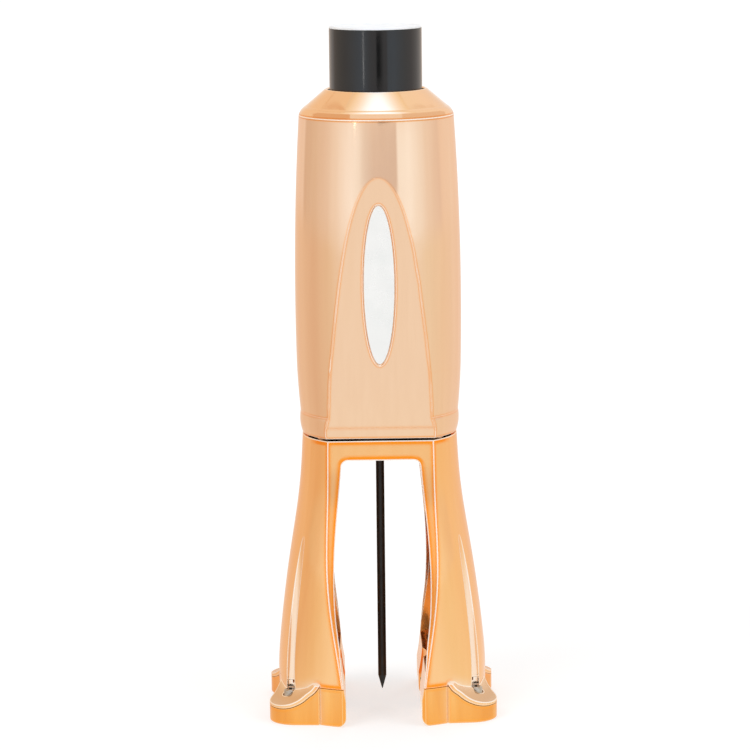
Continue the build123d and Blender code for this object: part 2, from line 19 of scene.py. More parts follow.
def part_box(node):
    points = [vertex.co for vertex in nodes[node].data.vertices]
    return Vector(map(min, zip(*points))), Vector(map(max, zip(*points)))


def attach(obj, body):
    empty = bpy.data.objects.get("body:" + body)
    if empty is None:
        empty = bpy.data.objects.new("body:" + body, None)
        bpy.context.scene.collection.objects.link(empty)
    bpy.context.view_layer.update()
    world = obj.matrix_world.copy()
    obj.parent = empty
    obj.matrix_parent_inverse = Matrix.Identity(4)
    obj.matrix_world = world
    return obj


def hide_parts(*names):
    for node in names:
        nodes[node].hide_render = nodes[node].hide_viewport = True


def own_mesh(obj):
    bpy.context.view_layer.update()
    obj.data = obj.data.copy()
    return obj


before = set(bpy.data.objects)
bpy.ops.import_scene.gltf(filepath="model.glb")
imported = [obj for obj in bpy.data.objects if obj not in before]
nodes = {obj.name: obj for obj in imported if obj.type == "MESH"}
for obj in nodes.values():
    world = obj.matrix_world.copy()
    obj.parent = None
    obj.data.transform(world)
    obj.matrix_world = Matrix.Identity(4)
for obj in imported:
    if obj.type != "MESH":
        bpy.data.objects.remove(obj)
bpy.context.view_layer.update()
MM = 0.001

# %% [markdown]
# ## Two small helpers
#
# Colours are written as they look on a screen, as sRGB hex values. Blender's sockets want
# linear light, so one function turns one into the other. A second function adds a shader node
# with its settings and links in one line, which keeps each material short enough to read.


# %% Colour and node helpers
def linear(code):
    """A linear RGBA colour from an sRGB hex value such as 'EECAA8'."""
    channels = [int(code[i:i + 2], 16) / 255 for i in (0, 2, 4)]
    lit = [c / 12.92 if c <= 0.04045 else ((c + 0.055) / 1.055) ** 2.4 for c in channels]
    return (*lit, 1.0)


def add(tree, kind, inputs=None, **settings):
    """A node with its settings. Each input is a value, or another node's output socket."""
    node = tree.nodes.new(kind)
    for name, value in settings.items():
        setattr(node, name, value)
    for name, value in (inputs or {}).items():
        if isinstance(value, bpy.types.NodeSocket):
            tree.links.new(value, node.inputs[name])
        else:
            node.inputs[name].default_value = value
    return node


print("peach plating in linear light:", [round(c, 3) for c in linear("EECAA8")])

# %% [markdown]
# ## The camera
#
# The photograph was taken from straight in front with a long lens, about 1.3 m away and a
# little above the top of the opener, looking down by 9 degrees. These values come from fitting
# a pinhole camera to the rims of the can, the seam and the four feet. The Standard view shows
# colours as they are written.

# %% Camera at the photograph's viewpoint
PHOTO_PX = 750
FOCAL_PX = 3485.0
SENSOR_MM = 36.0
CAMERA_DISTANCE = 1.320
CAMERA_HEIGHT = 0.3422
CAMERA_PITCH = math.radians(9.16)
CAMERA_TURN = math.radians(0.85)
CAMERA_ROLL = math.radians(0.63)
SIDE_SHIFT_PX = 4.0

camera_data = bpy.data.cameras.new("photo_camera")
camera_data.sensor_width = SENSOR_MM
camera_data.lens = FOCAL_PX / PHOTO_PX * SENSOR_MM
camera_data.shift_x = -SIDE_SHIFT_PX / PHOTO_PX
camera = bpy.data.objects.new("photo_camera", camera_data)
camera.location = (
    -CAMERA_DISTANCE * math.sin(CAMERA_TURN),
    -CAMERA_DISTANCE * math.cos(CAMERA_TURN),
    CAMERA_HEIGHT,
)
aim = Euler((math.pi / 2 - CAMERA_PITCH, 0, -CAMERA_TURN)).to_matrix()
camera.rotation_euler = (aim @ Matrix.Rotation(-CAMERA_ROLL, 3, "Z")).to_euler()
bpy.context.scene.collection.objects.link(camera)
bpy.context.scene.camera = camera
bpy.context.scene.view_settings.view_transform = "Standard"
print("lens", round(camera_data.lens, 1), "mm")

# %% [markdown]
# ## A white room
#
# The background of the photograph is pure white. The world is white for camera rays, and a
# plain grey level for diffuse rays, so that paint and plastic aren't overlit. Glossy rays that
# miss the cards further down see a warm ceiling. The floor is a matt pale grey with a little
# light of its own for the camera, which takes it to white but keeps a soft shadow under the
# feet. The lamps reach its far parts less, so its own light grows with the distance from the
# opener.

# %% World and floor
WORLD_LIGHT = 0.55
CEILING = (0.98, 0.86, 0.70, 1)
FLOOR_HALF = 9.0
FLOOR_COLOR = "B8B8B8"
FLOOR_GLOW_NEAR = 0.60
FLOOR_GLOW_FAR = 0.78
GLOW_GROWS_FROM, GLOW_GROWS_TO = 0.3, 2.6  # metres from the opener

world = bpy.data.worlds.new("white_room")
world.use_nodes = True
sky = world.node_tree
sky.nodes.clear()
ray = add(sky, "ShaderNodeLightPath")
dim = add(sky, "ShaderNodeBackground", {"Color": (1, 1, 1, 1), "Strength": WORLD_LIGHT})
bright = add(sky, "ShaderNodeBackground", {"Color": (1, 1, 1, 1), "Strength": 1.0})
warm = add(sky, "ShaderNodeBackground", {"Color": CEILING, "Strength": 1.0})
seen = add(sky, "ShaderNodeMixShader", {
    "Fac": ray.outputs["Is Camera Ray"], 1: dim.outputs[0], 2: bright.outputs[0]})
around = add(sky, "ShaderNodeMixShader", {
    "Fac": ray.outputs["Is Glossy Ray"], 1: seen.outputs[0], 2: warm.outputs[0]})
add(sky, "ShaderNodeOutputWorld", {"Surface": around.outputs[0]})
bpy.context.scene.world = world

floor_mesh = bpy.data.meshes.new("floor")
floor_mesh.from_pydata(
    [(x * FLOOR_HALF, y * FLOOR_HALF, 0) for x, y in ((-1, -1), (1, -1), (1, 1), (-1, 1))],
    [], [(0, 1, 2, 3)])
floor = bpy.data.objects.new("floor", floor_mesh)
floor.visible_glossy = False
bpy.context.scene.collection.objects.link(floor)
paint = bpy.data.materials.new("matt_pale_floor")
paint.use_nodes = True
tree = paint.node_tree
tree.nodes.clear()
place = add(tree, "ShaderNodeTexCoord")
away = add(tree, "ShaderNodeVectorMath", {0: place.outputs["Object"]}, operation="LENGTH")
growing = add(tree, "ShaderNodeMapRange", {
    "Value": away.outputs["Value"], "From Min": GLOW_GROWS_FROM, "From Max": GLOW_GROWS_TO,
    "To Min": FLOOR_GLOW_NEAR, "To Max": FLOOR_GLOW_FAR}, interpolation_type="SMOOTHSTEP")
matt = add(tree, "ShaderNodeBsdfDiffuse", {"Color": linear(FLOOR_COLOR)})
glow = add(tree, "ShaderNodeEmission", {"Color": (1, 1, 1, 1), "Strength": growing.outputs[0]})
dark = add(tree, "ShaderNodeEmission", {"Color": (1, 1, 1, 1), "Strength": 0.0})
ray = add(tree, "ShaderNodeLightPath")
lit = add(tree, "ShaderNodeMixShader", {
    "Fac": ray.outputs["Is Camera Ray"], 1: dark.outputs[0], 2: glow.outputs[0]})
both = add(tree, "ShaderNodeAddShader", {0: matt.outputs[0], 1: lit.outputs[0]})
add(tree, "ShaderNodeOutputMaterial", {"Surface": both.outputs[0]})
floor_mesh.materials.append(paint)
print("floor glow", FLOOR_GLOW_NEAR, "to", FLOOR_GLOW_FAR)

# %% [markdown]
# ## Cards round the opener
#
# Plating is photographed between cards. Soft boxes to the left and right of the camera draw
# the two cream bands down the barrel, the darker camera side between them draws the tan band,
# and warm cards at the sides draw the tan edges. One round tub stands for all of them: a wall
# of cards on a floor of warm paper. Its light changes with the direction. The lists give the
# direction in degrees, 0 towards the camera and positive to the right, with the light's colour
# there. Each colour was set with the photograph beside the render.

# %% Lights of the tub, by direction
CARD_LIGHTS = [
    (-180, (0.88, 0.66, 0.52)),
    (-152, (0.94, 0.80, 0.70)),
    (-130, (0.96, 0.86, 0.80)),
    (-124, (0.80, 0.66, 0.56)),
    (-100, (0.86, 0.74, 0.64)),
    (-80, (0.92, 0.82, 0.76)),
    (-62, (1.02, 1.00, 1.00)),
    (-38, (1.14, 1.26, 1.42)),
    (-27, (1.08, 1.18, 1.30)),
    (-16, (0.88, 0.88, 0.92)),
    (-6, (0.84, 0.79, 0.80)),
    (27, (0.82, 0.76, 0.76)),
    (29, (1.10, 1.22, 1.36)),
    (46, (1.14, 1.28, 1.44)),
    (62, (1.05, 1.10, 1.16)),
    (78, (0.98, 0.94, 0.92)),
    (98, (0.92, 0.82, 0.78)),
    (104, (1.00, 0.90, 0.84)),
    (130, (1.00, 0.92, 0.86)),
    (152, (0.96, 0.82, 0.72)),
    (180, (0.88, 0.66, 0.52)),
]
PAPER_LIGHTS = [
    (-180, (0.90, 0.70, 0.56)),
    (-130, (0.92, 0.76, 0.62)),
    (-100, (0.86, 0.67, 0.53)),
    (-70, (0.92, 0.80, 0.66)),
    (-45, (1.02, 1.00, 0.98)),
    (0, (1.02, 1.00, 0.98)),
    (45, (1.02, 1.00, 0.98)),
    (70, (0.98, 0.94, 0.84)),
    (100, (0.98, 0.88, 0.76)),
    (130, (0.98, 0.88, 0.80)),
    (180, (0.90, 0.70, 0.56)),
]
UPPER_LIGHTS = [
    (-180, (0.98, 0.98, 0.98)),
    (-166, (0.96, 0.84, 0.70)),
    (-150, (1.00, 0.80, 0.58)),
    (-120, (1.02, 0.84, 0.62)),
    (-60, (1.00, 0.96, 0.90)),
    (0, (1.06, 1.00, 0.96)),
    (60, (1.00, 0.96, 0.90)),
    (120, (1.06, 0.98, 0.84)),
    (138, (1.06, 0.96, 0.84)),
    (160, (0.96, 0.88, 0.80)),
    (168, (0.98, 0.94, 0.90)),
    (180, (0.98, 0.98, 0.98)),
]
print(len(CARD_LIGHTS), "wall lights", len(PAPER_LIGHTS), "paper lights",
      len(UPPER_LIGHTS), "upper lights")

# %% [markdown]
# The tub is a profile turned once round the opener. Its light comes from three colour ramps,
# one for each list. Between two heights the paper goes over into the cards, and between two
# more the cards go over into the upper wall, which only the shoulder and the feet look at. The
# ramps hold plain colours between 0 and 1: the lights divided by the brightest one, which the
# emission's strength multiplies again. Only glossy rays see the cards.

# %% Tub of cards
TUB_RADIUS = 1.0
TUB_HEIGHT = 2.2
TUB_STEPS = 120
TUB_MIDDLE = 0.001  # the paper starts just beside the axis, so that no face is a sliver
PAPER_RING = 0.3
PAPER_END = (0.09, 0.12)
UPPER_START = (0.245, 0.29)
BRIGHTEST = 1.6


def glossy_only(obj):
    """Hides a card from every ray but the reflections."""
    obj.visible_camera = False
    obj.visible_diffuse = False
    obj.visible_transmission = False
    obj.visible_shadow = False


def card_light(name, color, strength):
    """A plain lamp-like material, its tree and its light."""
    material = bpy.data.materials.new(name)
    material.use_nodes = True
    tree = material.node_tree
    tree.nodes.clear()
    glow = add(tree, "ShaderNodeEmission", {"Color": color, "Strength": strength})
    add(tree, "ShaderNodeOutputMaterial", {"Surface": glow.outputs[0]})
    return material, tree, glow


def fill_ramp(ramp, stops):
    """Sets a colour ramp's stops from a list of shares and lights."""
    elements = ramp.color_ramp.elements
    for index, (share, light) in enumerate(stops):
        if index == 0:
            stop = elements[0]
        elif index == len(stops) - 1:
            stop = elements[-1]
        else:
            stop = elements.new(share)
        stop.position = share
        stop.color = (*light, 1)


profile = [(TUB_MIDDLE, 0.0), (PAPER_RING, 0.0), (TUB_RADIUS, 0.0), (TUB_RADIUS, TUB_HEIGHT)]
corners, sides = [], []
for step in range(TUB_STEPS + 1):
    turn = 2 * math.pi * step / TUB_STEPS - math.pi
    for radius, height in profile:
        corners.append((radius * math.sin(turn), -radius * math.cos(turn), height))
for step in range(TUB_STEPS):
    for row in range(len(profile) - 1):
        first = step * len(profile) + row
        sides.append((first, first + 1, first + len(profile) + 1, first + len(profile)))
tub_mesh = bpy.data.meshes.new("card_tub")
tub_mesh.from_pydata(corners, [], sides)
lap = tub_mesh.uv_layers.new(name="around")
for face in tub_mesh.polygons:
    for loop, corner in zip(face.loop_indices, face.vertices):
        lap.data[loop].uv = ((corner // len(profile)) / TUB_STEPS, 0)
card_tub = bpy.data.objects.new("card_tub", tub_mesh)
bpy.context.scene.collection.objects.link(card_tub)

cards, tree, glow = card_light("card_tub_light", (1, 1, 1, 1), BRIGHTEST)
around = add(tree, "ShaderNodeSeparateXYZ", {
    0: add(tree, "ShaderNodeUVMap", uv_map="around").outputs[0]}).outputs["X"]
place = add(tree, "ShaderNodeSeparateXYZ", {
    0: add(tree, "ShaderNodeTexCoord").outputs["Object"]})
layers = []
for lights in (PAPER_LIGHTS, CARD_LIGHTS, UPPER_LIGHTS):
    ramp = add(tree, "ShaderNodeValToRGB", {"Fac": around})
    fill_ramp(ramp, [((angle + 180) / 360, [c / BRIGHTEST for c in light])
                     for angle, light in lights])
    layers.append(ramp.outputs["Color"])
mixed = layers[0]
for layer, (low, high) in zip(layers[1:], (PAPER_END, UPPER_START)):
    share = add(tree, "ShaderNodeMapRange", {
        "Value": place.outputs["Z"], "From Min": low, "From Max": high})
    mixed = add(tree, "ShaderNodeMix", {
        "Factor": share.outputs[0], "A": mixed, "B": layer}, data_type="RGBA").outputs["Result"]
tree.links.new(mixed, glow.inputs["Color"])
tub_mesh.materials.append(cards)
glossy_only(card_tub)
print("tub", TUB_RADIUS * 2, "m across and", TUB_HEIGHT, "m high")

# %% [markdown]
# ## The light from above
#
# A soft box hangs over the opener and a little in front. It puts the glow on the front of the
# shoulder. The plating takes the blue out of a light, so the box is bluish in its middle, where
# the glow has to look white, and warm towards its rim. It is an ellipse, and its light fades
# from the middle outwards. From here on, one function makes a card from corners and faces.

# %% Soft box
SOFT_BOX_RADIUS = 0.95
SOFT_BOX_WIDTH_SHARE = 0.5
SOFT_BOX_PLACE = (0.06, -0.10, 1.5)
SOFT_BOX_STRENGTH = 3.0
SOFT_BOX_STEPS = 48
SOFT_BOX_FADE = [
    (0.0, (0.45, 0.62, 0.95)),
    (0.28, (0.45, 0.62, 0.92)),
    (0.45, (0.40, 0.48, 0.58)),
    (0.62, (0.38, 0.39, 0.40)),
    (0.85, (0.355, 0.33, 0.27)),
    (1.0, (0.34, 0.29, 0.21)),
]


def card_of(name, corners, faces, material):
    """A card, given by its corners and faces, that only reflections see."""
    mesh = bpy.data.meshes.new(name)
    mesh.from_pydata(corners, [], faces)
    mesh.materials.append(material)
    card = bpy.data.objects.new(name, mesh)
    bpy.context.scene.collection.objects.link(card)
    glossy_only(card)
    return card


soft_light, tree, glow = card_light("soft_box_light", (1, 1, 1, 1), SOFT_BOX_STRENGTH)
place = add(tree, "ShaderNodeTexCoord")
span = add(tree, "ShaderNodeVectorMath", {0: place.outputs["Object"]}, operation="LENGTH")
share = add(tree, "ShaderNodeMapRange", {
    "Value": span.outputs["Value"], "From Max": SOFT_BOX_RADIUS})
fade = add(tree, "ShaderNodeValToRGB", {"Fac": share.outputs[0]})
fade.color_ramp.interpolation = "B_SPLINE"
fill_ramp(fade, SOFT_BOX_FADE)
tree.links.new(fade.outputs["Color"], glow.inputs["Color"])
turns = [math.tau * k / SOFT_BOX_STEPS for k in range(SOFT_BOX_STEPS)]
rim = [(SOFT_BOX_RADIUS * math.cos(t), SOFT_BOX_RADIUS * math.sin(t), 0) for t in turns]
soft_box = card_of("soft_box", rim, [tuple(range(SOFT_BOX_STEPS))], soft_light)
soft_box.location = SOFT_BOX_PLACE
soft_box.scale = (1, SOFT_BOX_WIDTH_SHARE, 1)
print("soft box", round(SOFT_BOX_RADIUS * 2, 2), "m long")

# %% [markdown]
# ## Two caps on the shoulder
#
# In the photograph two low, darker hills stand on the crease, left and right of the glow. They
# are mirrored cards. Their shape is hard to guess, so it is worked out backwards: a ray from
# the camera through each point of a hill's outline is mirrored in the shoulder, and the card
# gets a corner on the mirrored ray. The outlines are points of the photograph, read off as x
# and y in pixels.
#
# Two things lean that mirror. The shoulder's dome, a bump that its material adds further down,
# leans it a little outwards, so the dome's height and top are set here already. And the knee,
# the rounded edge between the cone and the crease, turns faster than the cone, so each card has
# two parts: one that the cone mirrors and one that the knee's lower half mirrors. The knee's
# upper half leans back further than the cone and gets no part.

# %% Cap cards
CREASE_MM = 229.6
DOME_TOP_MM = 238.8
DOME_MM = 0.42
CAP_DISTANCE = 0.8
CAP_ROWS = 8
CAP_TOP_PX = 100  # a height in the picture above both hills
STEP_PX = 0.25
KNEE_MM = 233.1
KNEE_MIDDLE_MM = 231.6
CAP_LIGHTS = {"left_cap": (0.88, 0.60, 0.38, 1), "right_cap": (0.93, 0.76, 0.60, 1)}
CAP_OUTLINES_PX = {
    "left_cap": [
        (313, 113.5), (318, 110), (323, 107), (329, 105), (335, 104.6), (341, 106), (346, 109.5),
        (350, 115)],
    "right_cap": [
        (402, 114), (406, 110), (411, 107.6), (418, 106.4), (426, 106), (434, 106.6),
        (440, 108.5), (445, 112)],
}


def mirrored(x_px, y_px):
    """The shoulder's point seen at a point of the picture, and where its mirror ray ends.

    The shoulder is round but its mesh has flat facets, so the facet's normal is turned to
    point straight out from the axis. The dome then leans it by its slope at that height.
    """
    eye = Vector((x_px - PHOTO_PX / 2 - SIDE_SHIFT_PX, PHOTO_PX / 2 - y_px, -FOCAL_PX))
    way = (camera.rotation_euler.to_matrix() @ eye).normalized()
    _, spot, facet, _ = nodes["housing"].ray_cast(camera.location, way)
    outward = Vector((spot.x, spot.y, 0)).normalized()
    level = math.sqrt(1 - facet.z ** 2)
    normal = outward * level + Vector((0, 0, facet.z))
    lack = min(max((DOME_TOP_MM - spot.z / MM) / (DOME_TOP_MM - CREASE_MM), 0), 1)
    slope = 2 * DOME_MM * lack / (DOME_TOP_MM - CREASE_MM)
    uphill = Vector((0, 0, 1)) - normal * facet.z
    normal = (normal - uphill * slope).normalized()
    return spot, spot + way.reflect(normal) * CAP_DISTANCE


def lowest_px(x_px, y_px, height_mm):
    """How far down the picture the shoulder stays above a height, from a starting point."""
    while mirrored(x_px, y_px + STEP_PX)[0].z > height_mm * MM:
        y_px += STEP_PX
    return y_px


for name, outline in CAP_OUTLINES_PX.items():
    corners, sides = [], []
    for top_mm, foot_mm in ((DOME_TOP_MM, KNEE_MM), (KNEE_MIDDLE_MM, CREASE_MM)):
        start = len(corners)
        for x, y in outline:
            top = max(y, lowest_px(x, CAP_TOP_PX, top_mm))
            foot = max(top, lowest_px(x, top, foot_mm))
            corners += [mirrored(x, top + (foot - top) * row / (CAP_ROWS - 1))[1]
                        for row in range(CAP_ROWS)]
        for column in range(len(outline) - 1):
            for row in range(CAP_ROWS - 1):
                first = start + column * CAP_ROWS + row
                sides.append((first, first + 1, first + CAP_ROWS + 1, first + CAP_ROWS))
    cap, _, _ = card_light(name + "_light", CAP_LIGHTS[name], 1.0)
    card_of(name + "_card", corners, sides, cap)
    print(name, "with", len(corners), "corners")

# %% [markdown]
# ## Strips in front of the can
#
# A glossy black can shows a studio as thin lines. A narrow black flag stands close in front of
# it and draws the dark stripe beside its middle, sharp on the left and fading to the right. A
# thin bright strip draws the fine line further left. Both stand higher than the barrel's wall,
# whose mirrored rays run downwards, so the wall doesn't show them.

# %% Flag and strip
STRIP_Y = -0.12
STRIP_LOW, STRIP_HIGH = 0.2325, 0.2555
FLAG_LEFT, FLAG_RIGHT = 0.0024, 0.041
FLAG_BLACK = 0.0135
FLAG_LIGHT_AT_RIGHT = 0.85
LINE_LEFT, LINE_RIGHT = -0.0695, -0.0645
LINE_STRENGTH = 6.0


def upright(left, right):
    """Corners of a narrow upright card in front of the can."""
    return [(left, STRIP_Y, STRIP_LOW), (right, STRIP_Y, STRIP_LOW),
            (right, STRIP_Y, STRIP_HIGH), (left, STRIP_Y, STRIP_HIGH)]


flag, tree, glow = card_light("flag_light", (1.0, 0.96, 0.96, 1), 1.0)
place = add(tree, "ShaderNodeSeparateXYZ", {
    0: add(tree, "ShaderNodeTexCoord").outputs["Object"]})
fade = add(tree, "ShaderNodeMapRange", {
    "Value": place.outputs["X"], "From Min": FLAG_LEFT + FLAG_BLACK, "From Max": FLAG_RIGHT,
    "To Min": 0.0, "To Max": FLAG_LIGHT_AT_RIGHT})
tree.links.new(fade.outputs[0], glow.inputs["Strength"])
card_of("can_flag", upright(FLAG_LEFT, FLAG_RIGHT), [(0, 1, 2, 3)], flag)
line, _, _ = card_light("line_light", (1, 1, 1, 1), LINE_STRENGTH)
card_of("can_line_strip", upright(LINE_LEFT, LINE_RIGHT), [(0, 1, 2, 3)], line)
print("flag", round((FLAG_RIGHT - FLAG_LEFT) / MM, 1), "mm wide")

# %% [markdown]
# ## Three lamps
#
# Print, plate, rubber and floor aren't clear mirrors and need light that falls on them. Three
# large area lamps give it, from the left, the right and behind. Reflections don't see them, so
# they leave no marks in the plating.

# %% Lamps
LAMP_TARGET = (0, 0, 0.1)
LAMPS = {  # place in metres, width in metres, power in watts
    "key_lamp": ((-1.1, -1.2, 1.5), 1.2, 14.0),
    "fill_lamp": ((1.3, -0.9, 1.2), 1.2, 9.0),
    "back_lamp": ((0.2, 1.4, 1.6), 1.4, 9.0),
}


def face_to(obj, target):
    """Turns a lamp so that its shining side looks at a point."""
    obj.rotation_euler = (Vector(target) - obj.location).to_track_quat("-Z", "Y").to_euler()


for name, (where, width, watts) in LAMPS.items():
    lamp_data = bpy.data.lights.new(name, "AREA")
    lamp_data.size = width
    lamp_data.energy = watts
    lamp = bpy.data.objects.new(name, lamp_data)
    lamp.location = where
    lamp.visible_glossy = False
    bpy.context.scene.collection.objects.link(lamp)
    face_to(lamp, LAMP_TARGET)
    print(name, watts, "W")

# %% [markdown]
# ## Detail that every finish shares
#
# Every finish starts from one shader, and four more functions add what makes a surface look
# real: a slow drift, for colour and for roughness where a piece was handled or wiped, waves
# left by the mould, a mask for edges, and layers of colour. The edge mask comes from the Bevel
# node. Near an edge it returns a normal that leans towards the neighbouring face, so the angle
# between it and the true normal tells how near the edge is. A small radius gives a thin line
# and a larger one a band.


# %% Shared surface detail
DRIFT_FROM, DRIFT_TO = 0.35, 0.65  # most of the noise lies between these two values
LEAN_CLEAR, LEAN_FAINT = 0.3, 0.1  # upward parts of a normal that leans clearly, and hardly
QUIET_FADE_MM = 1.0


def shader(name, **values):
    """A material with one Principled shader, and its tree."""
    material = bpy.data.materials.new(name)
    material.use_nodes = True
    tree = material.node_tree
    tree.nodes.clear()
    inputs = {key.replace("_", " "): value for key, value in values.items()}
    surface = add(tree, "ShaderNodeBsdfPrincipled", inputs)
    add(tree, "ShaderNodeOutputMaterial", {"Surface": surface.outputs[0]})
    return material, tree, surface


def drift(tree, size_mm, low=0.0, high=1.0):
    """A slow, even noise between two values, with patches of the given size."""
    place = add(tree, "ShaderNodeTexCoord")
    spread = add(tree, "ShaderNodeMapping", {
        "Vector": place.outputs["Object"], "Scale": [1 / (s * MM) for s in size_mm]})
    noise = add(tree, "ShaderNodeTexNoise", {
        "Vector": spread.outputs["Vector"], "Scale": 1.0, "Detail": 3.0})
    return add(tree, "ShaderNodeMapRange", {
        "Value": noise.outputs["Fac"], "From Min": DRIFT_FROM, "From Max": DRIFT_TO,
        "To Min": low, "To Max": high}).outputs[0]


def waviness(tree, surface, spacing_mm, height_mm, under=None):
    """Slow moulding waves in the surface, over another node's normal where one is given."""
    place = add(tree, "ShaderNodeTexCoord")
    noise = add(tree, "ShaderNodeTexNoise", {
        "Vector": place.outputs["Object"], "Scale": 1 / (spacing_mm * MM), "Detail": 2.0})
    bump = add(tree, "ShaderNodeBump", {
        "Height": noise.outputs["Fac"], "Distance": height_mm * MM, "Strength": 1.0})
    if under:
        tree.links.new(under, bump.inputs["Normal"])
    tree.links.new(bump.outputs["Normal"], surface.inputs["Normal"])


def near_edge(tree, radius_mm, from_degrees, to_degrees, quiet=None):
    """0 on open faces, rising to 1 at edges: how far a bevelled normal leans.

    quiet is a side and two heights in mm: between them, edges that lean up (side 1) or
    down (side -1) are left out.
    """
    face = add(tree, "ShaderNodeNewGeometry")
    bevel = add(tree, "ShaderNodeBevel", {"Radius": radius_mm * MM}, samples=8)
    agree = add(tree, "ShaderNodeVectorMath", {
        0: face.outputs["Normal"], 1: bevel.outputs["Normal"]}, operation="DOT_PRODUCT")
    edge = add(tree, "ShaderNodeMapRange", {
        "Value": agree.outputs["Value"], "From Min": math.cos(math.radians(from_degrees)),
        "From Max": math.cos(math.radians(to_degrees))})
    if not quiet:
        return edge.outputs[0]
    side, low, high = quiet
    lean = add(tree, "ShaderNodeSeparateXYZ", {0: bevel.outputs["Normal"]})
    place = add(tree, "ShaderNodeSeparateXYZ", {
        0: add(tree, "ShaderNodeTexCoord").outputs["Object"]})
    away = add(tree, "ShaderNodeMapRange", {
        "Value": lean.outputs["Z"], "From Min": side * LEAN_CLEAR,
        "From Max": side * LEAN_FAINT})
    above = add(tree, "ShaderNodeMapRange", {
        "Value": place.outputs["Z"], "From Min": high * MM,
        "From Max": (high + QUIET_FADE_MM) * MM})
    below = add(tree, "ShaderNodeMapRange", {
        "Value": place.outputs["Z"], "From Min": low * MM,
        "From Max": (low - QUIET_FADE_MM) * MM})
    outside = add(tree, "ShaderNodeMath", {
        0: below.outputs[0], 1: above.outputs[0]}, operation="MAXIMUM")
    kept = add(tree, "ShaderNodeMath", {
        0: away.outputs[0], 1: outside.outputs[0]}, operation="MAXIMUM")
    return add(tree, "ShaderNodeMath", {
        0: edge.outputs[0], 1: kept.outputs[0]}, operation="MULTIPLY").outputs[0]


def layered(tree, surface, first_hex, layers):
    """Base colour from a first colour and, over it, masks with their colours."""
    color = linear(first_hex)
    for mask, code in layers:
        color = add(tree, "ShaderNodeMix", {
            "Factor": mask, "A": color, "B": linear(code)}, data_type="RGBA").outputs["Result"]
    tree.links.new(color, surface.inputs["Base Color"])


print("shared detail is ready")

# %% [markdown]
# ## Rose gold plating
#
# The barrel, legs and feet are moulded ABS, plated with bright metal and dipped in a tinted
# clear lacquer. To the eye that is a coloured mirror under a thin gloss coat, with a faint
# waviness from the moulding. Light is also painted into the colour: a pale line on every edge
# is a painted highlight, and a band of deeper orange beside it is a painted reflection. Faces
# that look up, and the walls inside the legs that look at the axis, get other colours, painted
# for what they reflect. Grooves, which see little open sky, are painted paler. The lacquer
# hangs in faint upright curtains, and towards the feet the colour changes with height, also a
# painted reflection. How far each of these reaches is written here once, and holds for all the
# plating.


# %% Plating material
SOFT_EDGE_MM = 0.25
PLATING_TINT = (1.0, 0.84, 0.70, 1.0)
BAND_DEGREES = (0.3, 4.0)
HIGHLIGHT_LINE_DEGREES = (2.0, 6.0)
BAND_FADE_MM = 3.0
PAINTED_UPWARD_FROM, PAINTED_UPWARD_TO = 0.35, 0.75  # how far up a face looks, from level 0 to straight up 1
INNER_FROM_MM, INNER_TO_MM = -2.0, -8.0  # below 0 for a face that looks towards the axis
RECESS_MM = 5.0
RECESS_FROM, RECESS_TO = 0.95, 0.70  # share of open sky that a groove sees
CURTAIN_HEIGHT_MM = 70.0
CLOUD_MM = 14.0  # size of a patch that is duller or brighter than its surroundings
SMOOTHEST, ROUGHEST = 0.7, 1.4  # shares of the roughness between which it drifts


